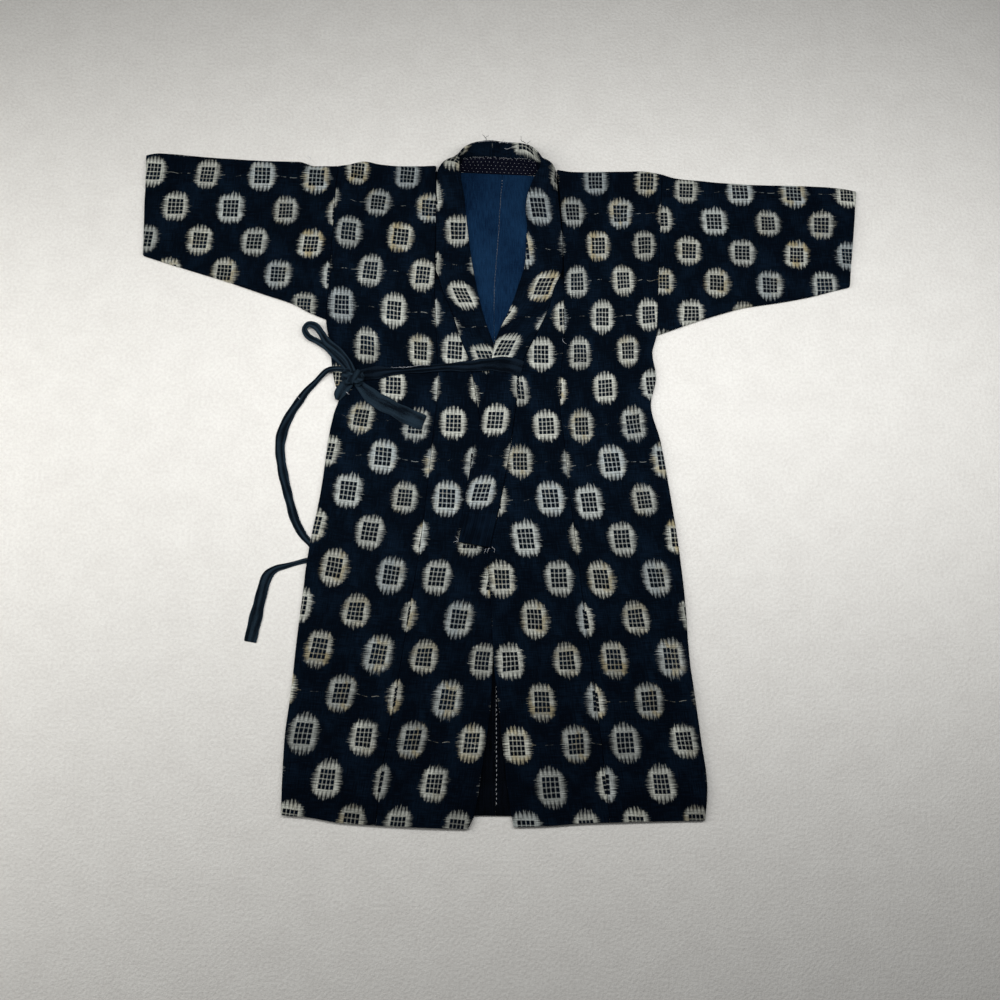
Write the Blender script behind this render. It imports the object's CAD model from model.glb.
# Noragi: a long lined work coat of indigo kasuri cotton, laid flat with its front up, its tie in a bow knot.
# Places and sizes in the tables are millimetres in the part's frame; meshes and materials are in metres.
# "Right" and "left" are the wearer's.

import math
import random

import bpy
import numpy as np
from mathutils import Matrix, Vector


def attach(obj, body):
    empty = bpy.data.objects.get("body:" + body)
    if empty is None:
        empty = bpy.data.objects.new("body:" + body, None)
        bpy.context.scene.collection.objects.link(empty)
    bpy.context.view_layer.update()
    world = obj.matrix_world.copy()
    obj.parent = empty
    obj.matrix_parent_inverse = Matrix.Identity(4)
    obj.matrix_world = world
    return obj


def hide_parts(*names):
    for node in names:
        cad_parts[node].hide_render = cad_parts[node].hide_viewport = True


bl_info = {
    "name": "Noragi",
    "version": (1, 0, 0),
    "blender": (4, 5, 0),
    "location": "View3D > Sidebar > Noragi",
    "description": "A lined kasuri work coat laid flat",
    "category": "Object",
}

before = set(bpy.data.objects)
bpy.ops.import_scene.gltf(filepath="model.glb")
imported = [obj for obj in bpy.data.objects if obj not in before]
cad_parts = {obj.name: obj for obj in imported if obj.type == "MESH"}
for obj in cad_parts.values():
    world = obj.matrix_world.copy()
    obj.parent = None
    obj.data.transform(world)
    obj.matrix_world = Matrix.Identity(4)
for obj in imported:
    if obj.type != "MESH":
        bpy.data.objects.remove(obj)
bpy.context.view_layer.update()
MM = 0.001


def rows(columns, *lines):
    """A short table: the columns' names, then a line of numbers for each place."""
    names = columns.split()
    return [dict(zip(names, line)) for line in lines]


# ---------------------------------------------------------------- sizes of the cloth

CLOTH = 2.4  # outer cotton and lining, stitched together
BAND = 3.2  # collar band, folded double
LINING = 1.0
FACING = 1.0
FACING_EASE = 0.4
SEAM = 0.3
COLLAR_SEAM = 0.5
BACK_LEVEL = CLOTH / 2
FRONT_LEVEL = 5.7
LINING_LEVEL = 3.3
LAP_RISE = 4.2
LAP_FULL = 4
LAP_FADE = 34
HEM_SINK = 1.5
HEM_SINK_FROM = -528
HEM_SINK_TO = -562
ROLL = 4
RIPPLE = 0.5
OVERLAP_POINT = 336
COLLAR_END = -138
COLLAR_END_SLANT = 9
ROLL_START = 16
NECK_LOW = 405
SHOULDER_SLANT_FROM = 380
HEM_SLANT_FROM = -250
TUCK = {"x": -303, "y": -145, "rise": 2.4, "flat": 28, "fade": 62}
NECK_SEAM = {"y": 518.5, "slant": -0.048}
NECK_LINING_GAP = 1.0
NUDGE = 0.01

# side edge and the seam of front and overlap, from the shoulder down
RIGHT_ROWS = rows(
    "y side seam",
    (533, -284, -112), (408, -289, -111), (336, -292, -112), (250, -295, -109),
    (213, -289, -107), (142, -278, -104), (114, -269, -105), (88, -276, -107),
    (45, -284, -111), (-39, -293, -119), (-138, -309, -130), (-253, -321, -147),
    (-376, -331, -165), (-440, -337, -175), (-503, -338, -185), (-570.8, -337, -191),
)
LEFT_ROWS = rows(
    "y side seam",
    (525, 283, 100), (421, 277, 107), (336, 272, 109), (222, 265, 109),
    (190, 257, 106), (150, 262, 102), (100, 252, 100), (38, 266, 106),
    (-57, 280, 115), (-148, 291, 125), (-222, 297, 133), (-316, 301, 144),
    (-362, 306, 149), (-436, 314, 157), (-506, 321, 164), (-568, 315, 169),
)

# inner edge of each front, and the collar's free edge where it lies flat on it
RIGHT_INNER = rows(
    "y x",
    (533, -112), (408, -111), (342, -111), (326, -105), (304, -99), (268, -84), (208, -64),
    (177, -52), (101, -38), (40, -27), (-26, -14), (-92, 0), (-138, 12), (-222, 0),
    (-316, -11), (-382, -14), (-462, -25), (-548, -39), (-570.8, -49),
)
LEFT_INNER = rows(
    "y x",
    (525, 100), (438, 105), (391, 108), (342, 108), (326, 102), (304, 92), (271, 83),
    (218, 59), (161, 34), (99, 27), (38, 19), (-27, 8), (-93, -5), (-138, -15),
    (-165, -19), (-237, -14), (-316, -10), (-408, 0), (-515, 12), (-568, 21),
)
RIGHT_FREE = rows(
    "y x",
    (421, -57), (358, -49), (304, -39), (250, -26), (218, -15), (163, 1),
    (101, 12), (40, 23), (-26, 36), (-92, 50), (-138, 63),
)
LEFT_FREE = rows(
    "y x",
    (421, 47), (351, 43), (319, 34), (274, 19), (212, -7), (151, -19),
    (57, -36), (-27, -52), (-93, -62), (-138, -67),
)
LAP_EDGE = rows(
    "y x",
    (304, -39), (218, -15), (163, 1), (101, 12), (-26, 36), (-138, 63),
    (-156, 60), (-200, 20), (-316, -9), (-382, -14), (-462, -25), (-570.8, -49),
)

# hems and shoulder folds across the coat, and the centre back seam
RIGHT_HEM = rows("x y", (-337, -550), (-299, -553), (-244, -562), (-107, -569), (-49, -570.8))
LEFT_HEM = rows("x y", (21, -568), (75, -566), (131, -562), (315, -558))
BACK_HEM = rows("x y", (-337, -548), (0, -552), (315, -556))
RIGHT_SHOULDER = rows(
    "x y", (-284, 532), (-268, 534), (-237, 541), (-208, 535), (-170, 532), (-112, 533)
)
LEFT_SHOULDER = rows("x y", (100, 525), (129, 521), (198, 522), (240, 522), (283, 516))
CENTRE_BACK = rows("y x", (519, 5), (469, 1), (400, -3), (286, -10), (-396, -7), (-556, -7))

# sleeves, from the armhole to the cuff: the fold along the top and the seam underneath
RIGHT_SLEEVE = rows(
    "topX topY underX underY",
    (-284, 532, -295, 250), (-323, 532, -325, 263), (-355, 541, -353, 278), (-414, 542, -405, 296),
    (-482, 546, -470, 319), (-549, 552, -530, 338), (-600, 556, -589, 357), (-620, 553, -613, 365),
)
LEFT_SLEEVE = rows(
    "topX topY underX underY",
    (283, 516, 265, 222), (306, 509, 296, 233), (346, 504, 341, 249), (431, 497, 420, 272),
    (485, 495, 473, 280), (538, 494, 526, 290), (592, 490, 572, 302), (620, 484, 597, 308),
)

# the collar round the neck: seam, free edge, and how far the band bulges
NECK = rows(
    "sx sy sz fx fy fz bulge",
    (-110.6, 421, 6.2, -57, 421, 6.9, 1), (-110.4, 471, 6.6, -62, 472, 12, 6),
    (-110, 495, 6.8, -66, 492, 18, 9), (-109.6, 515, 6.9, -68, 508, 23, 10),
    (-106, 525.6, 6.2, -70, 521, 27, 10), (-97, 526.6, 4.8, -70, 535, 30, 10),
    (-84, 524.6, 3.5, -63, 549, 30, 9), (-66, 522.5, 2.6, -51, 559, 28, 7),
    (-46, 521.1, 2.3, -37, 565.7, 25, 4), (-20, 519.9, 2.2, -18, 570.2, 22, 2),
    (5, 518.7, 2.2, 4, 568.2, 20.5, 1.5), (30, 517.5, 2.2, 26, 566.7, 20.5, 2),
    (48, 516.7, 2.3, 44, 563, 22, 4), (66, 516.4, 2.8, 56, 555, 25, 7),
    (82, 517.4, 3.7, 66, 542, 28, 9), (92, 517.8, 5, 70, 528, 30, 10),
    (97, 512.5, 6.4, 68, 515, 28, 10), (98.6, 498, 6.8, 60, 503, 23, 9),
    (100.8, 474, 6.6, 49, 478, 14, 6), (103.2, 450, 6.4, 44.5, 451, 9.5, 3),
    (105.6, 421, 6.2, 47, 418, 7, 1),
)
NECK_FACING = {"start": 0.33, "end": 0.66, "low": -0.03, "high": 0.5}

# the back linings, built where they show: outer edges on each side
NECK_LINING = rows(
    "y right left", (512, -96, 86), (400, -86, 76), (300, -68, 58), (230, -50, 34), (180, -38, 20)
)
HEM_LINING = rows("y right left", (-310, -34, 14), (-390, -42, 20), (-470, -54, 30), (-551, -72, 48))

# long soft folds, a ridge between two points
FOLDS = rows(
    "x1 y1 x2 y2 rise half",
    (225, 268, 226, 118, 2.4, 12), (224, 130, 219, -40, 2.6, 12), (148, 505, 143, 170, 1.3, 11),
    (188, 500, 168, 190, 1.2, 11), (252, 480, 246, 250, 1.2, 10), (-171, 400, -166, 190, 1.5, 12),
    (-212, 470, -210, 350, 1.3, 11), (-262, 400, -255, 250, 1.4, 11), (-246, 55, -264, -60, 1.8, 11),
    (-237, -80, -234, -240, 1.3, 12), (-352, 356, -300, 262, 1.6, 12), (320, 330, 284, 250, 1.3, 11),
    (592, 440, 588, 326, 1.3, 9),
)
# pressed creases, a narrow trough between two points
CREASES = rows(
    "x1 y1 x2 y2 deep half",
    (142, 345, 155, 296, 1.0, 4), (146, 496, 142, 439, 0.8, 4), (254, 325, 250, 284, 0.9, 4),
    (225, 259, 223, 162, 1.1, 4), (235, 174, 227, 124, 1.4, 4), (227, 124, 233, 91, 1.2, 4),
    (197, 121, 207, 78, 1.0, 4), (207, 78, 210, 40, 0.8, 4), (213, 22, 219, -33, 1.1, 4),
    (-201, 440, -197, 367, 0.9, 4), (-170, 361, -172, 241, 1.1, 4), (-172, 241, -175, 192, 0.9, 4),
    (-268, 439, -270, 352, 0.9, 4), (-74, 40, -90, -30, 1.3, 5), (-245, 59, -254, 15, 1.2, 4),
    (-254, 39, -263, -13, 1.2, 4), (-237, -103, -234, -214, 0.9, 5), (18, 86, 13, 49, 0.8, 4),
    (-17, 133, 30, 133, 1.1, 3), (188, 411, 182, 284, 0.8, 4), (169, 485, 161, 374, 0.9, 4),
    (176, 230, 168, 192, 0.9, 4), (256, 504, 250, 393, 0.9, 4), (-244, 513, -239, 457, 0.8, 4),
    (-140, 513, -136, 411, 0.8, 4), (-145, 302, -149, 230, 0.8, 4), (163, -60, 168, -125, 0.7, 5),
    (240, -222, 244, -347, 0.6, 6), (191, -285, 195, -377, 0.6, 6), (64, -222, 66, -347, 0.6, 6),
    (-270, -285, -272, -408, 0.6, 6), (-206, -285, -210, -377, 0.6, 6), (-127, -285, -131, -408, 0.6, 5),
    (94, -377, 96, -497, 0.5, 6), (234, -408, 237, -527, 0.5, 6), (-344, 393, -302, 257, 0.9, 4),
    (355, 439, 346, 302, 0.7, 5), (469, 467, 460, 374, 0.5, 6), (-541, 523, -539, 429, 0.5, 6),
    (-436, 513, -437, 393, 0.5, 6), (555, 467, 544, 338, 0.6, 6), (-351, 349, -303, 246, 0.8, 4),
)

# how the weave lies on each piece: the warp thread through the middle of a column of dots, the distance
# between two such columns, the slant of the weft, and how many repeats up the cloth the row is
GRAIN_RIGHT_BODY = rows(
    "y thread pitch slant repeat",
    (642, -152, 88, -0.09, 5), (514, -161, 88, -0.09, 4), (399, -171, 90, -0.11, 3), (266, -180, 89, -0.1, 2),
    (133, -179, 90, -0.1, 1), (12, -193, 92, -0.12, 0), (-112, -211, 93, -0.12, -1),
    (-239, -230, 94, -0.1, -2), (-367, -250, 94, -0.075, -3), (-495, -268, 94, -0.075, -4),
    (-623, -286, 94, -0.075, -5),
)
GRAIN_LEFT_BODY = rows(
    "y thread pitch slant repeat",
    (631, 165, 88, -0.03, 5), (503, 167, 87, -0.03, 4), (382, 169, 79, 0, 3), (254, 173, 79, 0.05, 2),
    (129, 175, 82, 0.06, 1), (2, 184, 88, 0.05, 0), (-124, 198, 90, 0.045, -1), (-250, 217, 90, 0.04, -2),
    (-379, 234, 91, 0.02, -3), (-502, 249, 92, 0.02, -4), (-628, 264, 92, 0.02, -5),
)
GRAIN_RIGHT_OVERLAP = rows(
    "y thread pitch slant repeat",
    (323, -76, 90, -0.06, 3), (196, -76, 90, -0.06, 2), (69, -78, 90, -0.06, 1), (-58, -87, 91, -0.06, 0),
    (-185, -101, 92, -0.06, -1), (-311, -120, 92, -0.06, -2), (-438, -137, 92, -0.05, -3),
    (-565, -158, 92, -0.05, -4), (-692, -176, 92, -0.05, -5),
)
GRAIN_LEFT_OVERLAP = rows(
    "y thread pitch slant repeat",
    (317, 66, 90, 0.03, 3), (189, 69, 90, 0.03, 2), (64, 76, 90, 0.02, 1), (-58, 82, 91, 0.02, 0),
    (-187, 95, 92, 0.02, -1), (-316, 106, 91, 0.02, -2), (-444, 118, 92, 0.03, -3),
    (-570, 133, 92, 0.03, -4), (-698, 146, 92, 0.03, -5),
)
GRAIN_RIGHT_SLEEVE = rows(
    "y thread pitch slant repeat",
    (635, -408, 95, -0.04, 1), (512, -415, 95, -0.04, 0), (389, -422, 95, -0.03, -1),
    (277, -428, 95, -0.03, -2), (165, -434, 95, -0.03, -3),
)
GRAIN_LEFT_SLEEVE = rows(
    "y thread pitch slant repeat",
    (594, 417, 93, -0.035, 1), (482, 417, 93, -0.035, 0), (369, 416, 92, -0.035, -1),
    (257, 415, 92, -0.03, -2), (145, 414, 92, -0.03, -3),
)
# the same along the collar, measured from its upper end: across is from the seam to the middle of a dot
GRAIN_COLLAR = rows(
    "along across repeat",
    (-45, 34, -0.262), (0, 34, -0.264), (48, 34, -0.275), (85, 34, 0), (209, 30, 1), (339, 41, 2),
    (456, 19, 3), (601, 38, 4), (665, 42, 4.5), (729, 48, 5), (793, 64, 5.5), (866, 34, 6),
    (1004, 39, 7), (1122, 30, 8), (1240, 30, 9), (1368, 30, 10), (1496, 30, 11), (1624, 30, 12),
)
REPEAT = 128  # the pattern's repeat along the cloth
PITCH = 91  # and across it
HALF_DOT = (22.6, 29.0)  # half a dot's width and length
SPECULAR = 0.008  # cotton this dark and rough has next to no highlight
SHEEN_ROUGHNESS = 0.6

# the ties: strips along a path, with their width, thickness and height over what they lie on
FRONT_TIE = rows(
    "x y wide thick over",
    (37, 161, 26, 1.6, 0), (13, 167, 27, 1.6, 0), (-14, 168, 24, 1.8, 0.4), (-42, 166.5, 19, 2.2, 0.6),
    (-72, 165.5, 16, 2.6, 0.3), (-100, 163.5, 13, 2.8, 0.2), (-134, 160.5, 12, 3, 0.2),
    (-164, 157.5, 11, 3, 0.4), (-190, 156, 17, 3, 0.8), (-212, 154, 22, 3.2, 1.6), (-234, 150, 18, 3.4, 2.8),
)
SIDE_TIE = rows(
    "x y wide thick over",
    (-270, 108, 8, 1.8, 0), (-267, 119, 19, 2.2, 0), (-259, 130, 21, 2.6, 0.6), (-248, 139, 15, 2.8, 1.6),
)
SHORT_TAIL = rows(
    "x y wide thick over",
    (-240, 141, 14, 2.8, 1.6), (-227, 127, 20, 2.2, 0.6), (-208, 110, 25, 1.8, 0.1),
    (-182, 96, 27, 1.6, 0), (-154, 81, 27, 1.6, 0), (-126, 69, 25, 1.6, 0),
)
LOOP = rows(
    "x y wide thick z",
    (-243, 152, 10, 3, 16), (-254, 173, 11, 2.6, 16.6), (-271, 192, 12, 2.4, 15), (-291, 209, 13, 2.2, 12),
    (-301, 224, 13, 2.2, 11.5), (-312, 237, 12, 2.4, 10.5), (-324, 240, 10, 2.6, 9), (-330, 231, 9, 2.8, 8),
    (-323, 219, 10, 2.6, 7.4), (-309, 211, 11, 2.4, 7.6), (-294, 202, 12, 2.2, 9), (-280, 188, 12, 2.2, 11),
    (-266, 173, 11, 2.4, 12.2), (-252, 157, 10, 2.6, 13),
)
LONG_TAIL = rows(
    "x y wide thick z",
    (-246, 149, 9, 2.4, 10.8), (-258, 159, 9, 2.4, 10), (-272, 162, 9, 2.4, 9.7), (-288, 160, 9, 2.4, 8.6),
    (-300, 151, 10, 2.2, 5), (-311, 140, 10, 2.2, 1.6), (-325, 125, 12, 2, 1.1), (-337, 107, 14, 1.8, 1),
    (-350, 86, 16, 1.7, 0.9), (-361, 59, 17, 1.6, 0.8), (-365, 31, 17, 1.6, 0.8), (-361, 0, 16, 1.6, 0.8),
    (-354, -30, 15, 1.6, 0.8), (-345, -62, 15, 1.6, 0.8), (-335, -92, 14, 1.6, 0.8),
    (-320, -118, 13, 1.5, 0.8), (-306, -133, 11, 1.4, 0.7), (-299, -145, 9, 1.4, 0.7),
    (-305, -155, 8, 1.4, 0.7), (-319, -159, 8, 1.5, 0.8), (-344, -166, 9, 1.6, 0.8),
    (-364, -172, 12, 1.6, 0.8), (-376, -183, 16, 1.6, 0.8), (-383, -206, 19, 1.6, 0.8),
    (-391, -245, 20, 1.6, 0.8), (-399, -288, 21, 1.6, 0.8),
)
TIE_BRIDGE = 30  # how far from the upper front's edge a tie starts to rise
KNOT = {"x": -245, "y": 146, "z": 15.2, "long": 39, "wide": 27, "high": 12.5, "turn": -12}


# ---------------------------------------------------------------- lines and levels

def mix(a, b, share):
    """A value on the way from one to another."""
    return a + (b - a) * share


def smooth(zero, one, at):
    """0 at one value and 1 at another, with a soft start and end."""
    share = np.clip((at - zero) / (one - zero), 0, 1)
    return share * share * (3 - 2 * share)


def through(table, key, column):
    """A smooth line through a table that doesn't swing past its rows, as a function of `key`."""
    ordered = sorted(table, key=lambda row: row[key])
    x = np.array([row[key] for row in ordered], float)
    y = np.array([row[column] for row in ordered], float)
    rise = np.diff(y) / np.diff(x)
    slope = np.concatenate([rise[:1], np.zeros(len(x) - 2), rise[-1:]])
    for k in range(1, len(x) - 1):
        if rise[k - 1] * rise[k] > 0:
            slope[k] = 2 * rise[k - 1] * rise[k] / (rise[k - 1] + rise[k])

    def line(at):
        inside = np.clip(at, x[0], x[-1])
        k = np.clip(np.searchsorted(x, inside) - 1, 0, len(x) - 2)
        span = x[k + 1] - x[k]
        t = (inside - x[k]) / span
        start = y[k] * (1 + 2 * t) * (1 - t) ** 2 + slope[k] * span * t * (1 - t) ** 2
        return start + y[k + 1] * (3 - 2 * t) * t * t + slope[k + 1] * span * (t - 1) * t * t

    return line


def steps(start, end, size):
    """Values from start to end, about that far apart."""
    return np.linspace(start, end, max(2, round(abs(end - start) / size) + 1))


def run_length(points):
    """How far along a line each of its points is."""
    return np.concatenate([[0], np.cumsum(np.linalg.norm(np.diff(points, axis=0), axis=1))])


def grid_of(*values):
    """A grid of points or of uv from the grids of its coordinates."""
    return np.stack(values, axis=2)


class Half:
    """One half of the coat, with its edges as lines."""

    def __init__(self, sign, table, inner, free, hem, shoulder, sleeve, grain, lifted):
        self.sign = sign
        self.lifted = lifted
        self.sleeve = sleeve
        self.grain = grain
        self.armpit = sleeve[0]["underY"]
        self.armhole = (sleeve[0]["underX"], sleeve[0]["underY"], sleeve[0]["topX"], sleeve[0]["topY"])
        self.below = through(table, "y", "side")
        self.seam = through(table, "y", "seam")
        self.inner = through(inner, "y", "x")
        self.free = through(free, "y", "x")
        self.hem = through(hem, "x", "y")
        self.shoulder = through(shoulder, "x", "y")
        self.top = table[0]["y"] - CLOTH / 2 - ROLL
        self.bottom = table[-1]["y"]
        self.shoulder_y = table[0]["y"]

    def side(self, y):
        low_x, low_y, top_x, top_y = self.armhole
        above = mix(low_x, top_x, (y - low_y) / (top_y - low_y))
        return np.where(y > low_y, above, self.below(y))


RIGHT = Half(
    -1, RIGHT_ROWS, RIGHT_INNER, RIGHT_FREE, RIGHT_HEM, RIGHT_SHOULDER, RIGHT_SLEEVE,
    GRAIN_RIGHT_BODY, False,
)
LEFT = Half(
    1, LEFT_ROWS, LEFT_INNER, LEFT_FREE, LEFT_HEM, LEFT_SHOULDER, LEFT_SLEEVE,
    GRAIN_LEFT_BODY, True,
)
lap_edge = through(LAP_EDGE, "y", "x")
centre_back = through(CENTRE_BACK, "y", "x")
back_hem = through(BACK_HEM, "x", "y")


def neck_seam(x):
    return NECK_SEAM["y"] + NECK_SEAM["slant"] * x


def settled(side, x, y):
    """Where a point of a row lies once the row follows the slant of the shoulder and the hem."""
    up = (side.shoulder(x) - side.shoulder_y) * smooth(SHOULDER_SLANT_FROM, side.top, y)
    down = (side.hem(x) - side.bottom) * smooth(HEM_SLANT_FROM, side.bottom, y)
    return y + up + down


def tuck(x, y):
    """How far the side is lifted where the long tail is tucked under it."""
    away = np.hypot(x - TUCK["x"], y - TUCK["y"])
    return TUCK["rise"] * smooth(TUCK["fade"], TUCK["flat"], away)


def lines_of(table, x, y, height):
    """The sum of a table's ridges or troughs at a place."""
    total = np.zeros(np.broadcast(x, y).shape)
    for line in table:
        dx = line["x2"] - line["x1"]
        dy = line["y2"] - line["y1"]
        along = ((x - line["x1"]) * dx + (y - line["y1"]) * dy) / (dx * dx + dy * dy)
        across = ((x - line["x1"]) * dy - (y - line["y1"]) * dx) / math.hypot(dx, dy)
        ends = smooth(0, 0.25, along) * smooth(1, 0.75, along)
        total = total + line[height] * ends * np.exp(-((across / line["half"]) ** 2))
    return total


SWELL = 0.6  # the crumpled front stands this much higher than its solid on average
CRUMPLE_GAIN = 1.6
CREASE_GAIN = 2.0
WAVES = rows(  # uneven swell of cloth that has been laid by hand: wavelength, direction in degrees, height
    "long turn high shift",
    (173, 12, 0.32, 0.4), (121, 71, 0.26, 2.1), (83, 124, 0.22, 4.4), (61, 33, 0.16, 1.2),
    (47, 95, 0.13, 3.3), (33, 151, 0.09, 5.2), (24, 62, 0.06, 0.9), (17, 108, 0.04, 2.7),
)


def crumple(x, y):
    """The sum of the waves, each bent a little so that none runs straight."""
    total = np.zeros(np.broadcast(x, y).shape)
    for wave in WAVES:
        turn = math.radians(wave["turn"])
        bend = 9 * np.sin(y / 57 + wave["shift"]) + 7 * np.sin(x / 39 + 2 * wave["shift"])
        along = x * math.cos(turn) + y * math.sin(turn) + bend
        total = total + wave["high"] * np.sin(2 * math.pi * along / wave["long"] + wave["shift"])
    return CRUMPLE_GAIN * total


def back_level(x, y):
    """Height of the middle of the back's cloth."""
    return BACK_LEVEL + tuck(x, y)


def front_level(x, y, lifted):
    """Height of the middle of the front's cloth; the upper front also rises over the lower one."""
    ripple = RIPPLE * (1 + np.sin(x / 43 + 1.3) * np.sin(y / 71 + 0.4))
    lap = LAP_RISE * smooth(LAP_FADE, LAP_FULL, x - lap_edge(y)) if lifted else 0
    sink = HEM_SINK * smooth(HEM_SINK_FROM, HEM_SINK_TO, y)
    level = FRONT_LEVEL + ripple + lines_of(FOLDS, x, y, "rise") + tuck(x, y) + lap - sink
    free = smooth(HEM_SINK_TO, HEM_SINK_FROM, y)
    return level + free * (SWELL + crumple(x, y)) - CREASE_GAIN * lines_of(CREASES, x, y, "deep")


def roll_height(back, front, turn, offset):
    """Height at a turn of the roll that joins the back to the front."""
    middle = (front + back) / 2
    radius = (front - back) / 2
    return middle + (radius + offset) * np.sin(np.radians(turn))


def grain(table, x, y):
    """Cloth coordinates, in repeats of the pattern, at a place on a piece."""
    thread = through(table, "y", "thread")
    slanted = y - through(table, "y", "slant")(y) * (x - thread(y))
    across = (x - thread(slanted)) / through(table, "y", "pitch")(slanted)
    return across, through(table, "y", "repeat")(slanted)


# ---------------------------------------------------------------- meshes

EDGE_ROUND = np.array([0, 0.12, 0.4, 0.85, 1.4])  # distances in from a rounded edge


def with_edges(values, start=True, end=True):
    """A line of values with closer ones near its ends, where the cloth's edge is rounded."""
    direction = np.sign(values[-1] - values[0])
    first = values[0] + direction * EDGE_ROUND if start else values[:1]
    last = values[-1] - direction * EDGE_ROUND[::-1] if end else values[-1:]
    reach = abs(first[-1] - values[0]) + 1
    back = abs(values[-1] - last[0]) + 1
    keep = (np.abs(values - values[0]) > reach) & (np.abs(values - values[-1]) > back)
    return np.concatenate([first, values[keep], last])


def rounded(distance, thick):
    """Half the thickness at a distance in from a rounded edge."""
    inside = np.clip(distance / (thick / 2), 0, 1)
    return thick / 2 * np.sqrt(1 - (1 - inside) ** 2)


def new_object(name, vertices, faces, uv=None, materials=(), face_material=None):
    mesh = bpy.data.meshes.new(name)
    mesh.from_pydata(vertices.tolist(), [], faces)
    mesh.polygons.foreach_set("use_smooth", [True] * len(mesh.polygons))
    if uv is not None:
        layer = mesh.uv_layers.new(name="cloth")
        layer.data.foreach_set("uv", np.asarray(uv, np.float32).ravel())
    for material in materials:
        mesh.materials.append(material)
    if face_material is not None:
        mesh.polygons.foreach_set("material_index", face_material)
    mesh.validate()
    mesh.update()
    made = bpy.data.objects.new(name, mesh)
    bpy.context.scene.collection.objects.link(made)
    return made


def shell(name, outer, inner, uv_outer, uv_inner, materials, has=None, around=False):
    """A closed wall between two grids of points in millimetres. Where the wall has an edge, the two grids
    meet. `around` joins the last column to the first; the grids of uv then have one column more."""
    row_count, column_count = outer.shape[:2]
    cells = column_count if around else column_count - 1
    cloth = np.ones((row_count - 1, cells), bool) if has is None else has
    edge = np.zeros((row_count, column_count), bool)
    for i in (0, 1):
        for j in (0, 1):
            there = np.zeros((row_count + 1, cells + (0 if around else 2)), bool)
            inner_part = there[1:-1] if around else there[1:-1, 1:-1]
            inner_part[...] = cloth
            if around:
                at_vertex = np.roll(there, 1 - j, axis=1)[i:i + row_count]
            else:
                at_vertex = there[i:i + row_count, j:j + column_count]
            edge |= ~at_vertex
    count = row_count * column_count
    outside = np.arange(count).reshape(row_count, column_count)
    inside = np.where(edge, outside, outside + count)
    flip = face_flip(outer, inner, edge)
    faces = []
    uv = []
    index = []
    for i, j in zip(*np.nonzero(cloth)):
        corners = [(i, j), (i, j + 1), (i + 1, j + 1), (i + 1, j)]
        for ids, coordinates, slot_index, turned in (
            (outside, uv_outer, 0, flip), (inside, uv_inner, 1, not flip)
        ):
            order = corners[::-1] if turned else corners
            faces.append([int(ids[a, b % column_count]) for a, b in order])
            uv.extend(coordinates[a, b] for a, b in order)
            index.append(min(slot_index, len(materials) - 1))
    points = np.concatenate([outer.reshape(-1, 3), inner.reshape(-1, 3)])
    used = np.zeros(len(points), bool)
    used[np.unique([corner for face in faces for corner in face])] = True
    renumber = np.cumsum(used) - 1
    faces = [[int(renumber[corner]) for corner in face] for face in faces]
    return new_object(name, points[used] * MM, faces, uv, materials, index)


def face_flip(outer, inner, edge):
    """True if the outer grid's faces, taken in order, would point into the wall."""
    thick = np.linalg.norm(outer - inner, axis=2)
    thick[edge] = 0
    thick[-1, :] = 0
    thick[:, -1] = 0
    i, j = np.unravel_index(np.argmax(thick), thick.shape)
    across = outer[i, j + 1] - outer[i, j]
    down = outer[i + 1, j] - outer[i, j]
    return float(np.dot(np.cross(across, down), outer[i, j] - inner[i, j])) < 0


def tube_faces(rings, sides, start=0):
    """Faces of a closed tube whose points are numbered ring by ring."""
    faces = []
    for i in range(rings - 1):
        for j in range(sides):
            a, b = start + i * sides + j, start + i * sides + (j + 1) % sides
            faces.append([a, b, b + sides, a + sides])
    last = start + (rings - 1) * sides
    return faces + [list(range(start, start + sides))[::-1], list(range(last, last + sides))]


def make_outward(made):
    """Turns a closed mesh's faces outwards if its volume comes out negative."""
    mesh = made.data
    volume = 0.0
    for polygon in mesh.polygons:
        corners = [mesh.vertices[k].co for k in polygon.vertices]
        for k in range(1, len(corners) - 1):
            volume += corners[0].dot(corners[k].cross(corners[k + 1]))
    if volume < 0:
        mesh.flip_normals()


def closed_object(name, points, faces, kind, uv=None, ridge=None):
    """A closed mesh from points in millimetres. `ridge`, kept for the material, is how far each point
    stands on a fold's ridge."""
    made = new_object(name, np.asarray(points, float) * MM, faces, uv, [material_of(kind)])
    if ridge is not None:
        layer = made.data.attributes.new("fold", "FLOAT", "POINT")
        layer.data.foreach_set("value", np.asarray(ridge, np.float32).ravel())
    make_outward(made)
    return made


# ---------------------------------------------------------------- materials

def linear(colour):
    """An sRGB hex colour as linear numbers."""
    parts = [int(colour[k:k + 2], 16) / 255 for k in (1, 3, 5)]
    return [c / 12.92 if c <= 0.04045 else ((c + 0.055) / 1.055) ** 2.4 for c in parts] + [1]


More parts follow.
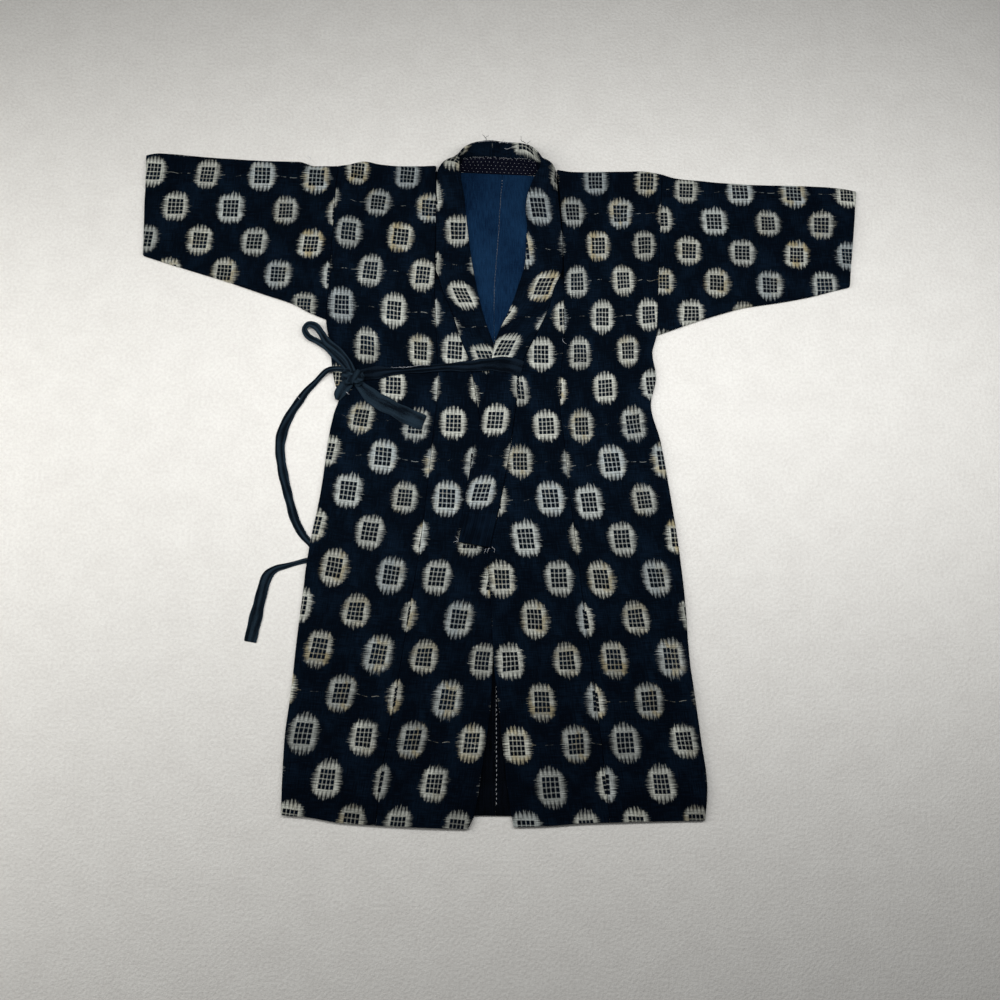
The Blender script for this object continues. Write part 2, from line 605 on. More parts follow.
# the kinds of node in the tables below: type, settings, and the sockets that a row fills, in order.
# Any other kind is an operation of the math node.
NODE_KINDS = {
    "uv map": ("ShaderNodeUVMap", {"uv_map": "cloth"}, ()),
    "coordinates": ("ShaderNodeTexCoord", {}, ()),
    "folds": ("ShaderNodeAttribute", {"attribute_name": "fold"}, ()),
    "join": ("ShaderNodeCombineXYZ", {}, (0, 1, 2)),
    "split": ("ShaderNodeSeparateXYZ", {}, (0,)),
    "mix": ("ShaderNodeMix", {"data_type": "FLOAT"}, (0, 2, 3)),
    "blend": ("ShaderNodeMix", {"data_type": "RGBA", "clamp_factor": True}, (0, 6, 7)),
    "range": ("ShaderNodeMapRange", {}, range(5)),
    "soft": ("ShaderNodeMapRange", {"interpolation_type": "SMOOTHSTEP"}, range(5)),
    "chance": ("ShaderNodeTexWhiteNoise", {"noise_dimensions": "2D"}, ("Vector",)),
    "noise": ("ShaderNodeTexNoise", {}, ("Vector", "Scale", "Detail", "Roughness")),
    "flat noise": ("ShaderNodeTexNoise", {"noise_dimensions": "2D"}, ("Vector", "Scale", "Detail")),
    "bump": ("ShaderNodeBump", {}, ("Strength", "Distance", "Height")),
    "shader": (
        "ShaderNodeBsdfPrincipled", {},
        ("Base Color", "Roughness", "Specular IOR Level", "Sheen Weight", "Sheen Roughness", "Normal"),
    ),
    "output": ("ShaderNodeOutputMaterial", {}, ("Surface",)),
}


def add_nodes(tree, table):
    """Adds a node for each row: its name, its kind, and what its sockets take: numbers or earlier nodes.
    A node's output follows its name and a dot; without one it is the first."""
    known = {}
    for name, kind, *taken in table:
        math_node = ("ShaderNodeMath", {"operation": kind.upper()}, range(3))
        node_type, settings, sockets = NODE_KINDS.get(kind, math_node)
        made = known[name] = tree.nodes.new(node_type)
        for setting, value in settings.items():
            setattr(made, setting, value)
        for socket, value in zip(sockets, taken):
            if isinstance(value, str):
                source, _, output = value.partition(".")
                key = int(output or 0) if output.isdigit() or not output else output
                tree.links.new(known[source].outputs[key], made.inputs[socket])
            else:
                made.inputs[socket].default_value = value


def both(table):
    """The table for the warp and again for the weft: "*" in a name stands for p, across the cloth and the
    warp's, or for q, along it and the weft's. A pair of values has one for each."""
    made = []
    for number, letter in enumerate("pq"):
        for row in table:
            chosen = [value[number] if isinstance(value, tuple) else value for value in row]
            made.append([value.replace("*", letter) if isinstance(value, str) else value for value in chosen])
    return made


def weave(streak, scale):
    """Noise drawn out along each thread, from the places p_mm and q_mm."""
    return both([
        ("*_long", "multiply", ("q_mm", "p_mm"), streak),
        ("*_thread_at", "join", ("p_mm", "q_long"), ("p_long", "q_mm")),
        ("*_thread", "flat noise", "*_thread_at", scale, 2.0),
    ])


def matt_material(name, table, roughness=0.9, sheen=0.0):
    """A rough material whose table names its "colour" and its "bump", with a soft sheen from its nap."""
    material = bpy.data.materials.new(name)
    material.use_nodes = True
    material.node_tree.nodes.clear()
    add_nodes(material.node_tree, table + [
        ("shader", "shader", "colour.2", roughness, SPECULAR, sheen, SHEEN_ROUGHNESS, "bump"),
        ("output", "output", "shader"),
    ])
    return material


def kasuri_cotton(colours):
    """Plain-woven indigo cotton whose warp and weft were both tied before dyeing. Where both were tied the
    cloth is ecru; where one was it is half-toned; the dot's edges are ragged, thread by thread."""
    place = ("place.0", "place.1")
    return matt_material("kasuri cotton", [
        ("uv", "uv map"),
        ("place", "split", "uv"),
        # the nearer of the two staggered lattices, where each dot drifts a little
        ("drift", "flat noise", "uv", 1.6, 1.0),
        ("drifts", "split", "drift.Color"),
        *both([
            ("*_mm", "multiply", place, (PITCH, REPEAT)),
            ("*_a", "wrap", place, 0.5, -0.5),
            ("*_half", "add", place, 0.5),
            ("*_b", "wrap", "*_half", 0.5, -0.5),
            ("*_off", "absolute", "*_a"),
            ("*_drift", "multiply_add", ("drifts.0", "drifts.1"), 7.0, -3.5),
        ]),
        ("off", "add", "p_off", "q_off"),
        ("near_b", "greater_than", "off", 0.5),
        *both([
            ("*_repeat", "mix", "near_b", "*_a", "*_b"),
            ("*_dot", "subtract", place, "*_repeat"),
            ("*_place", "multiply_add", "*_repeat", (PITCH, REPEAT), "*_drift"),
        ]),
        # each dot's own number gives its size; p and q are the place within the dot, mm
        ("dot_number", "join", "p_dot", "q_dot"),
        ("dot_chance", "chance", "dot_number"),
        ("chance", "split", "dot_chance.Color"),
        ("size", "multiply_add", "chance.0", 0.13, 0.93),
        *both([
            ("*", "divide", "*_place", "size"),
            ("*_far", "absolute", "*"),
            ("*_sign", "sign", "*"),
        ]),
        # the dot's oval, and the ragged ends of its threads: each bundle of tied threads ends elsewhere
        *both([
            ("*_share", "divide", "*", HALF_DOT),
            ("*_share_far", "absolute", "*_share"),
            ("*_bow", "power", "*_share_far", 2.2),
            ("*_left", "subtract", 1.0, "*_bow"),
            ("*_room", "maximum", "*_left", 0.0),
            ("*_root", "power", "*_room", 0.42),
            ("*_reach", "multiply", "*_root", HALF_DOT[::-1]),
            ("*_bundle", "multiply", "*_mm", (0.42, 0.85)),
            ("*_end", "multiply_add", ("q_dot", "p_dot"), (37.3, 41.7), ("q_sign", "p_sign")),
            ("*_at", "join", ("p_bundle", "q_end"), ("p_end", "q_bundle")),
            ("*_ragged", "flat noise", "*_at", 1.0, (2.0, 3.0)),
            ("*_shift", "multiply_add", "*_ragged", (15.0, 21.0), (-7.2, -10.5)),
            ("*_limit", "add", "*_reach", "*_shift"),
            ("*_in", "subtract", "*_limit", ("q_far", "p_far")),
            ("*_white", "soft", "*_in", (-1.2, -1.0), (1.6, 1.8)),
            ("*_side", "soft", "*_far", (21.5, 26.0), (17.0, 21.5)),
            ("*_oval", "multiply", "*_white", "*_side"),
            # the four by four check in the middle, where threads between the lines weren't tied
            ("*_line", "divide", "*", (6.3, 7.9)),
            ("*_part", "wrap", "*_line", 1.0, 0.0),
            ("*_gap", "subtract", "*_part", 0.5),
            ("*_gap_far", "absolute", "*_gap"),
            ("*_dark", "soft", "*_gap_far", (0.43, 0.44), (0.33, 0.35)),
            ("*_within", "soft", "*_far", (12.9, 16.1), (12.0, 15.2)),
        ]),
        ("check", "multiply", "p_within", "q_within"),
        # streaks above and below, where the same warp bundles go on, and to the sides along the weft
        ("above", "soft", "q_far", 14.5, 25.0, 0.5, 1.0),
        ("past_check", "soft", "q_far", 15.5, 18.0),
        ("tooth", "soft", "p_gap_far", 0.34, 0.14, 0.0, 0.95),
        ("tooth_above", "multiply", "tooth", "above"),
        ("p_faded", "multiply", "tooth_above", "past_check"),
        ("beside", "soft", "p_far", 12.5, 19.0, 0.4, 1.0),
        ("fine_at", "join", "p_dot", "q_bundle", 3.0),
        ("fine", "noise", "fine_at", 1.6, 2.0),
        ("thin", "soft", "fine", 0.60, 0.46),
        ("q_faded", "multiply", "thin", "beside"),
        *both([
            ("*_lent", "multiply", ("q_faded", "p_faded"), 0.75),
            ("*_untied", "multiply", "*_dark", "check"),
            ("*_dyed", "maximum", "*_untied", "*_faded"),
            ("*_less", "maximum", "*_dyed", "*_lent"),
            ("*_keep", "subtract", 1.0, "*_less"),
            ("*_tied", "multiply", "*_oval", "*_keep"),
        ]),
        # a stray weft thread that stays pale between some dots of a row
        ("row_number", "join", "q_dot", 0.37),
        ("row_chance", "chance", "row_number"),
        ("row_stray", "greater_than", "row_chance", 0.72),
        ("stray_wander", "flat noise", "uv", 3.0, 1.0),
        ("stray_shift", "multiply_add", "stray_wander", 10.0, "q"),
        ("stray_near", "subtract", "stray_shift", 5.0),
        ("stray_far", "absolute", "stray_near"),
        ("stray_line", "soft", "stray_far", 0.55, 0.15),
        ("stray_at", "join", "p_bundle", "row_chance"),
        ("stray_dash", "flat noise", "stray_at", 0.16, 3.0),
        ("stray_on", "soft", "stray_dash", 0.47, 0.6, 0.0, 0.5),
        ("stray_row", "multiply", "stray_line", "row_stray"),
        ("stray", "multiply", "stray_row", "stray_on"),
        # half the cloth's face is warp and half is weft
        ("warp_half", "multiply", "p_tied", 0.5),
        ("tied", "multiply_add", "q_tied", 0.5, "warp_half"),
        ("pale", "add", "tied", "stray"),
        # threads vary in how well the dye was kept out
        *weave(0.05, 0.9),
        ("threads", "add", "p_thread", "q_thread"),
        ("kept", "multiply_add", "threads", 1.35, -0.40),
        ("dot_clear", "multiply_add", "chance.2", 0.36, 0.56),
        ("kept_here", "multiply", "kept", "dot_clear"),
        ("paleness", "multiply", "pale", "kept_here"),
        # some dots have yellowed and some took a little dye
        ("aged", "soft", "chance.1", 0.45, 0.95),
        ("blotch", "flat noise", "uv", 4.5, 3.0),
        ("blotch_on", "soft", "blotch", 0.45, 0.68, 0.1, 1.0),
        ("yellowed", "multiply", "aged", "blotch_on"),
        ("cool", "soft", "dot_chance", 0.45, 0.9),
        ("ecru_cool", "blend", "cool", linear(colours.ecru), linear(colours.blued)),
        ("ecru", "blend", "yellowed", "ecru_cool.2", linear(colours.yellowed)),
        # uneven indigo, a little faded here and there
        ("fade", "flat noise", "uv", 2.2, 5.0),
        ("fade_on", "soft", "fade", 0.35, 0.75),
        ("slub", "multiply_add", "threads", 1.3, -1.3),
        ("indigo_share", "multiply_add", "fade_on", 0.5, "slub"),
        ("indigo", "blend", "indigo_share", linear(colours.indigo), linear(colours.indigo_faded)),
        ("colour", "blend", "paleness", "indigo.2", "ecru.2"),
        # threads of the weave, drawn coarser than the real 0.5 mm so that they show
        ("height", "multiply", "threads", 0.5),
        ("bump", "bump", 0.5, 0.0008, "height"),
    ])


def plain_cotton(name, dark, light, threads, streak, bump):
    """Plain-woven dyed cotton: the warp shows as fine streaks of slightly uneven colour, and the ridges of
    its folds, kept in the attribute "fold", have worn paler."""
    return matt_material(name, [
        ("uv", "uv map"),
        ("place", "split", "uv"),
        *both([("*_mm", "multiply", ("place.0", "place.1"), threads / MM)]),
        *weave(streak, 0.8),
        ("grain_at", "join", "p_mm", "q_mm"),
        ("fine", "flat noise", "grain_at", 1.3, 3.0),
        ("threads", "multiply_add", "q_thread", 0.35, "p_thread"),
        ("cloud", "flat noise", "uv", 14.0, 5.0),
        ("speckled", "multiply_add", "fine", 1.5, "threads"),
        ("uneven", "multiply_add", "cloud", 0.9, "speckled"),
        ("fold", "folds"),
        ("worn", "multiply_add", "fold.Fac", 0.55, "uneven"),
        ("share", "range", "worn", 1.45, 2.35),
        ("colour", "blend", "share", linear(dark), linear(light)),
        ("bump", "bump", bump, 0.0006, "threads"),
    ])


def thread_cotton(colours):
    """Twisted cotton sewing thread, matt and a little uneven."""
    return matt_material("white thread", [
        ("place", "coordinates"),
        ("uneven", "noise", "place.Object", 350.0, 3.0),
        ("colour", "blend", "uneven", linear(colours.thread_shade), linear(colours.thread)),
        ("bump", "bump", 0.3, 0.0003, "uneven"),
    ], roughness=0.85, sheen=0.05)


def wool_felt(colours):
    """The pale floor: a matt fleece with a soft, mottled pile."""
    return matt_material("pale floor", [
        ("place", "coordinates"),
        ("pile", "noise", "place.Object", 210.0, 4.0, 0.6),
        ("cloud", "noise", "place.Object", 22.0, 3.0),
        ("mottled", "multiply_add", "cloud", 0.35, "pile"),
        ("share", "range", "mottled", 0.5, 0.85),
        ("colour", "blend", "share", linear(colours.floor_low), linear(colours.floor)),
        ("bump", "bump", 0.4, 0.003, "pile"),
    ], roughness=0.95)


PLAIN_CLOTHS = {  # its colours, threads in a millimetre, how far its streaks are drawn out, and its bump
    "blue lining": ("lining", 0.9, 0.08, 0.4),
    "dark lining": ("dark_lining", 0.7, 0.05, 0.4),
    "neck facing": ("facing", 0.7, 0.05, 0.4),
    "tie cotton": ("tie", 0.8, 0.06, 0.7),
    "dark tie cotton": ("front_tie", 0.8, 0.06, 0.7),
}
OTHER_MATERIALS = {"kasuri cotton": kasuri_cotton, "white thread": thread_cotton, "pale floor": wool_felt}


def material_of(kind):
    """The one material of a kind, made from the panel's colours when it is first asked for."""
    if kind in bpy.data.materials:
        return bpy.data.materials[kind]
    colours = bpy.context.scene.noragi_colours
    if kind in OTHER_MATERIALS:
        return OTHER_MATERIALS[kind](colours)
    word, threads, streak, bump = PLAIN_CLOTHS[kind]
    dark, light = getattr(colours, word), getattr(colours, word + "_light")
    return plain_cotton(kind, dark, light, threads, streak, bump)


# ---------------------------------------------------------------- pieces of the coat

def lay(made, node):
    """The piece replaces its node, rides with the coat, and is a sheet of cloth of a stated cut."""
    made.name = node + "_cloth"
    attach(made, "root")
    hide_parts(node)


ROW_STEP = 4.6  # between two rows of a front's points
FRONT_WIDE = 165.0  # about the width of a front, from the neck's corner to the side
BACK_WIDE = 110.0  # about half the width of the back between the neck's corners
ROLL_WAY = 6.3  # a quarter of the way round the side's roll
FAR = 99  # further in from an edge than its rounding reaches
BACK_SLANT_FROM = 200
NECK_SLANT_FROM = 450
NECK_GAP_FROM = 500


def body_piece(side, name):
    """One length of cloth from the back hem over the shoulder and down the front."""
    sign = side.sign
    inset = CLOTH / 2 + ROLL
    neck_corner = float(side.seam(side.shoulder_y))
    back_low = float(back_hem(0.0))
    back = with_edges(steps(back_low, neck_seam(0.0), 9))
    over = np.linspace(-90, 90, 11)
    front = with_edges(steps(side.top, side.bottom, ROW_STEP), start=False)[1:]
    row_y = np.concatenate([back, np.full(len(over), side.top), front])[:, None]
    turn = np.concatenate([np.full(len(back), -90.0), over, np.full(len(front), 90.0)])[:, None]
    neck_row = len(back) - 1
    fold_row = neck_row + len(over)
    number = np.arange(len(row_y))[:, None]
    inner = np.linspace(-1, 0, 18)[1:-2]
    front_shares = with_edges(np.linspace(0, 1, 38) * FRONT_WIDE)[:-4] / FRONT_WIDE
    share = np.concatenate([-1 + EDGE_ROUND / BACK_WIDE, inner, front_shares, np.ones(9)])
    roll = np.concatenate([np.zeros(len(share) - 8), np.linspace(0, 90, 9)[1:]])
    share, roll = share[None, :], roll[None, :]
    inner_count = int(np.sum(share < -1e-9))

    def row_at(x, offset):
        level = row_y + (back_hem(x) - back_low) * smooth(BACK_SLANT_FROM, back_low, row_y)
        seam_x = np.where(np.abs(x) > abs(neck_corner), neck_corner, x)
        slanted = (neck_seam(seam_x) - neck_seam(0.0)) * smooth(NECK_SLANT_FROM, neck_seam(0.0), row_y)
        level = level + slanted - SEAM / 2 * smooth(NECK_GAP_FROM, neck_seam(0.0), row_y)
        bulge = (ROLL + offset) * np.cos(np.radians(turn))
        fold = side.shoulder(x) - inset + bulge
        down = settled(side, x, row_y)
        return np.select([number <= neck_row, number <= fold_row], [level, fold], down)

    def points(offset):
        edge_y = row_at(side.side(row_y), offset)
        edge = side.side(edge_y) - sign * SEAM / 2
        flat_end = side.side(edge_y) - sign * inset
        inner_x = np.where(number > fold_row, side.seam(row_y) + sign * SEAM / 2, neck_corner)
        centre = centre_back(row_y) + sign * SEAM / 2
        rolled = smooth(side.armpit, side.armpit - ROLL_START, row_y)
        angle = np.radians(roll)
        x = np.where(share < 0, mix(inner_x, centre, -share), mix(inner_x, flat_end, share))
        x = x + roll / 90 * (edge - flat_end) * (1 - rolled)
        x = x + sign * (ROLL + offset) * np.sin(angle) * rolled
        y = row_at(x, offset) + 0 * x
        low = back_level(x, y)
        level = front_level(x, y, False)
        if side.lifted:
            level = np.where(turn == 90, front_level(x, y, True), level)
        flat = roll_height(low, level, turn, offset)
        radius = (level - low - SEAM) / 2 + offset
        face = np.where(turn > 0, 1, -1)
        curled = (low + level) / 2 + face * (SEAM / 2 + radius * np.cos(angle))
        z = np.where(roll > 0, mix(flat, curled, rolled), flat)
        return grid_of(x, y, z)

    shape = (len(row_y), share.shape[1])
    hem_back = np.where(number <= neck_row, row_y - back_low, FAR)
    hem_front = np.where(number > fold_row, row_y - side.bottom, FAR)
    from_hem = np.minimum(hem_back, hem_front)
    from_seam = np.where(number > neck_row, share * FRONT_WIDE, (1 + share) * BACK_WIDE + 0 * row_y)
    from_seam = np.where((number > neck_row) & (share < 0), 0, from_seam)
    from_side = np.broadcast_to((90 - roll) / 90 * ROLL_WAY, shape)
    from_neck = np.where((number <= neck_row) & (share < 0), neck_seam(0.0) - row_y, FAR)
    distance = np.minimum(np.minimum(from_hem, from_seam), np.minimum(from_side, from_neck))
    half = np.broadcast_to(rounded(distance, CLOTH), shape)
    outer = points(half)
    inner_face = points(-half)
    has = np.ones((shape[0] - 1, shape[1] - 1), bool)
    has[neck_row:, :inner_count] = False

    # the weave runs on over the shoulder and down the back
    x, y = outer[:, :, 0], outer[:, :, 1]
    across, repeat = grain(side.grain, x, y)
    shoulder_y = y[fold_row][None, :]
    top_repeat = grain(side.grain, x[fold_row][None, :], shoulder_y)[1]
    round_fold = np.radians(90 - turn) * (ROLL + CLOTH / 2)
    down_back = np.where(number < fold_row, round_fold + np.where(turn == -90, shoulder_y - y, 0), 0)
    thread = side.grain[1]["thread"]
    back_across = (x - thread) / side.grain[1]["pitch"]
    is_back = number < fold_row
    uv = grid_of(
        np.where(is_back, back_across, across), np.where(is_back, top_repeat + down_back / REPEAT, repeat),
    )
    inner_uv = grid_of(x, y) * MM
    materials = [material_of("kasuri cotton"), material_of("dark lining")]
    return shell(name, outer, inner_face, uv, inner_uv, materials, has)


OVERLAP_WIDE = 130  # about an overlap panel's width
OVERLAP_BLUNT = 14  # how far its top stays below the point where its edges would meet


def overlap_piece(side, name, table):
    """The panel between the front and the collar, which narrows to a point at its top."""
    top = OVERLAP_POINT - OVERLAP_BLUNT
    down = with_edges(steps(top, side.bottom, ROW_STEP))[:, None]
    columns = with_edges(np.linspace(0, 1, 33) * OVERLAP_WIDE)[None, :] / OVERLAP_WIDE
    outer_x = side.seam(down) - side.sign * SEAM / 2
    x = mix(side.inner(down), outer_x, columns)
    y = settled(side, x, down)
    wide = np.abs(outer_x - side.inner(down))
    from_edge = np.minimum(columns, 1 - columns) * np.minimum(wide, OVERLAP_WIDE)
    from_end = np.minimum(down - side.bottom, top - down)
    half = rounded(np.minimum(from_edge, from_end), CLOTH)
    level = front_level(x, y, side.lifted)
    outer = grid_of(x, y, level + half)
    inner = grid_of(x, y, level - half)
    uv = grid_of(*grain(table, x, y))
    materials = [material_of("kasuri cotton"), material_of("dark lining")]
    return shell(name, outer, inner, uv, grid_of(x, y) * MM, materials)


FOLD_WAY = 8  # the way round a sleeve's top fold
CHARTED = 120  # how far past the top fold the pattern's table goes on; from there it repeats evenly
SLEEVE_LONG = 330.0  # about the sleeve's length


def sleeve_piece(side, name, table):
    """A flattened tube: a fold along the top, a seam underneath, open at the armhole and at the cuff."""
    along = [dict(row, k=k) for k, row in enumerate(side.sleeve)]
    top_x, top_y, under_x, under_y = (through(along, "k", c) for c in ("topX", "topY", "underX", "underY"))
    last = len(along) - 1
    station = with_edges(np.linspace(0, 1, 72) * SLEEVE_LONG)[:, None] / SLEEVE_LONG * last
    inset = CLOTH / 2 + ROLL
    across_back = np.linspace(0, 1, 44)[:-1]
    across_front = np.linspace(1, 0, 56)[:-1]
    fold = np.linspace(-90, 90, 9)[:-1]
    share = np.concatenate([across_back, np.ones(8), across_front, np.zeros(8)])[None, :]
    turn = np.concatenate([
        np.full(len(across_back), -90.0), fold, np.full(len(across_front), 90.0), -fold,
    ])[None, :]
    top = grid_of(top_x(station), top_y(station))
    under = grid_of(under_x(station), under_y(station))
    span = np.linalg.norm(top - under, axis=2)
    at_fold = np.where(share == 1, 1, 0) - np.where(share == 0, 1, 0)
    first = np.zeros_like(station)
    first[0] = side.sign * SEAM / 2

    def points(offset):
        bulge = (ROLL + offset) * np.cos(np.radians(turn))
        distance = mix(inset, span - inset, share) + at_fold * bulge
        place = under + (top - under) * (distance / span)[:, :, None]
        x = place[:, :, 0] + first
        y = place[:, :, 1]
        z = roll_height(back_level(x, y), front_level(x, y, False), turn, offset)
        return grid_of(x, y, z)

    from_end = np.minimum(station, last - station) / last * SLEEVE_LONG
    half = np.broadcast_to(rounded(from_end, CLOTH), (len(station), share.shape[1]))
    outer = points(half)
    inner = points(-half)
    # the weave runs on over the top fold to the back, and meets itself at the seam underneath
    x = np.concatenate([outer[:, :, 0], outer[:, :1, 0]], axis=1)
    y = np.concatenate([outer[:, :, 1], outer[:, :1, 1]], axis=1)
    at_top = len(across_back) + 8
    top_line = y[:, at_top:at_top + 1]
    column = np.arange(x.shape[1])[None, :]
    behind = column < at_top
    mirrored = np.where(behind, 2 * top_line - y + FOLD_WAY, y)
    charted = top_line + CHARTED
    across, repeat = grain(table, x, np.where(behind, np.minimum(mirrored, charted), mirrored))
    uv = grid_of(across, repeat + np.where(behind, np.maximum(mirrored - charted, 0) / REPEAT, 0))
    materials = [material_of("kasuri cotton"), material_of("dark lining")]
    return shell(name, outer, inner, uv, grid_of(x, y) * MM, materials, around=True)


def neck_lines():
    """A curve for each column of the table of the collar round the neck."""
    count = len(NECK) - 1
    points = {c: np.array([row[c] for row in NECK]) for c in NECK[0]}

    def line(column):
        values = points[column]
        # the same curve as the solid's: Catmull-Rom through evenly numbered points
        padded = np.concatenate([[2 * values[0] - values[1]], values, [2 * values[-1] - values[-2]]])

        def at(share):
            place = np.clip(share, 0, 1) * count
            k = np.minimum(np.floor(place).astype(int), count - 1)
            t = place - k
            a, b, c, d = (padded[k + n] for n in range(4))
            return 0.5 * (
                2 * b + (c - a) * t + (2 * a - 5 * b + 4 * c - d) * t ** 2 + (3 * b - a - 3 * c + d) * t ** 3
            )

        return at

    return {c: line(c) for c in points}


NECK_LINES = neck_lines()


def neck_section(at, shares):
    """Points across the collar at one place round the neck."""
    lines = NECK_LINES
    seam = np.array([lines["sx"](at), lines["sy"](at), lines["sz"](at)])
    free = np.array([lines["fx"](at), lines["fy"](at), lines["fz"](at)])
    ahead = np.array([lines[c](min(1, at + NUDGE)) for c in ("sx", "sy", "sz")])
    behind = np.array([lines[c](max(0, at - NUDGE)) for c in ("sx", "sy", "sz")])
    inward = np.cross(ahead - behind, free - seam)
    inward /= np.linalg.norm(inward)
    middle = (seam + free) / 2 - 2 * lines["bulge"](at) * inward
    t = shares[:, None]
    return (1 - t) ** 2 * seam + 2 * t * (1 - t) * middle + t ** 2 * free


def flat_section(side, y, shares):
    """Points across the collar where it lies flat on a front."""
    slant = COLLAR_END_SLANT * smooth(COLLAR_END + 30, COLLAR_END, y)
    seam_x = side.inner(y) - side.sign * COLLAR_SEAM
    x = mix(seam_x, side.free(y), shares)
    row_y = y + slant * shares
    level = front_level(x, row_y, side.lifted) + (BAND - CLOTH) / 2
    return np.stack([x, row_y, level], axis=1)


def collar_grid(shares):
    """Sections across the collar from its lower end round the neck to its upper end."""
    down = steps(NECK_LOW, COLLAR_END, 5)
    flat_rows = with_edges(down, start=False)
    sections = [flat_section(RIGHT, y, shares) for y in flat_rows[::-1]]
    sections += [neck_section(at, shares) for at in np.linspace(0, 1, 110)]
    sections += [flat_section(LEFT, y, shares) for y in flat_rows]
    return np.array(sections)


def grid_normals(grid):
    """The direction across the cloth at each point of its grid."""
    along = np.gradient(grid, axis=0)
    across = np.gradient(grid, axis=1)
    normal = np.cross(along, across)
    return normal / np.linalg.norm(normal, axis=2, keepdims=True)


BAND_WIDE = 56  # about the band's width
PLAIN = 0.25  # a share of the band's width, and of the way from one column of dots to the next


def collar_piece():
    """One band, folded double: its free edge is a fold and the pattern goes on over it to the inside."""
    shares = with_edges(np.linspace(0, 1, 17) * BAND_WIDE) / BAND_WIDE
    grid = collar_grid(shares)
    normal = grid_normals(grid)
    middle = grid[:, len(shares) // 2]
    length = run_length(middle)
    from_upper = (length[-1] - length)[:, None]
    width = np.linalg.norm(grid[:, -1] - grid[:, 0], axis=1)[:, None]
    from_edge = np.minimum(shares, 1 - shares)[None, :] * width
    from_end = np.minimum(length, length[-1] - length)[:, None]
    half = rounded(np.minimum(from_edge, from_end), BAND)[:, :, None]
    inside = grid + normal * half
    outside = grid - normal * half
    centre = through(GRAIN_COLLAR, "along", "across")(from_upper)
    repeat = through(GRAIN_COLLAR, "along", "repeat")(from_upper) + 0 * shares[None, :]
    across = shares[None, :] * width
    outer_uv = grid_of((across - centre) / PITCH, repeat)
    folded_over = (2 * width - across - centre) / PITCH
    # beside the seam the inside has no dots: it stays on the plain cloth between two columns of them
    inner_uv = grid_of(np.where(shares[None, :] < PLAIN, PLAIN, folded_over), repeat)
    materials = [material_of("kasuri cotton")]
    return shell("collar", outside, inside, outer_uv, inner_uv, materials), float(length[-1])


def facing_grid(rows_along, columns_across):
    """Points on the band's middle behind the facing, with the directions across the cloth."""
    shares = np.linspace(NECK_FACING["low"], NECK_FACING["high"], columns_across)
    at = np.linspace(NECK_FACING["start"], NECK_FACING["end"], rows_along)
    grid = np.array([neck_section(place, shares) for place in at])
    return grid, grid_normals(grid)


QUILT = 0.1  # how far the facing swells between its stitches


def facing_piece():
    """The dark strip inside the back of the collar, quilted by its rows of stitches."""
    grid, normal = facing_grid(90, 20)
    low = BAND / 2 + SEAM + FACING_EASE
    edge = np.zeros(grid.shape[:2])
    edge[1:-1, 1:-1] = 1
    i, j = np.indices(edge.shape)
    quilt = QUILT * np.cos(2 * math.pi * j / 19 * 5) * np.cos(2 * math.pi * i / 6.0)
    half = edge * (FACING / 2 + quilt)
    middle = low + FACING / 2
    outer = grid + normal * (middle + half)[:, :, None]
    inner = grid + normal * (middle - edge * FACING / 2)[:, :, None]
    uv = grid_of(i * 1.9, j * 1.6) * MM
    return shell("neck_facing", outer, inner, uv, uv, [material_of("neck facing")])


def lining_piece(side, name, table, top, kind):
    """A lining on the back, from the centre seam to its outer edge, puckered along the seam."""
    outer_x = through(table, "y", "right" if side.sign < 0 else "left")
    high, low = table[0]["y"], table[-1]["y"]
    wide = 90  # about the lining's width
    down = with_edges(steps(high, low, 4))[:, None]
    columns = with_edges(np.linspace(0, 1, 22) * wide)[None, :] / wide
    centre = centre_back(down) + side.sign * SEAM / 2
    x = mix(centre, outer_x(down), columns)
    y = down + (top(x) - high) * smooth(high - 40, high, down)
    from_edge = np.minimum(np.minimum(columns, 1 - columns) * wide, np.minimum(high - down, down - low))
    half = rounded(from_edge, LINING)
    pucker = 0.25 * np.exp(-columns * 12) * np.sin(y / 1.9) + 0.35 * np.exp(-((columns * wide - 7) / 5) ** 2)
    soft = 0.45 * np.sin(x / 17 + y / 90) * np.sin(y / 47 + 1) + 0.3 * np.sin(x / 9 + 0.6)
    level = LINING_LEVEL + np.clip((pucker + soft) * smooth(0, 8, from_edge), 0, 2)
    outer = grid_of(x, y, level + half)
    inner = grid_of(x, y, np.minimum(level, LINING_LEVEL) - half)
    uv = grid_of(x, y) * MM
    return shell(name, outer, inner, uv, uv, [material_of(kind)])


def top_of_cloth(x, y):
    """Height of the cloth that a tie lies on; it bridges the step beside the upper front's edge."""
    band_top = BAND - CLOTH / 2
    upper = front_level(x, y, True) + band_top
    lower = front_level(x, y, False) + np.where(x > RIGHT.inner(y), band_top, CLOTH / 2)
    edge = LEFT.free(y)
    return mix(lower, upper, smooth(edge - TIE_BRIDGE, edge - SEAM, x))


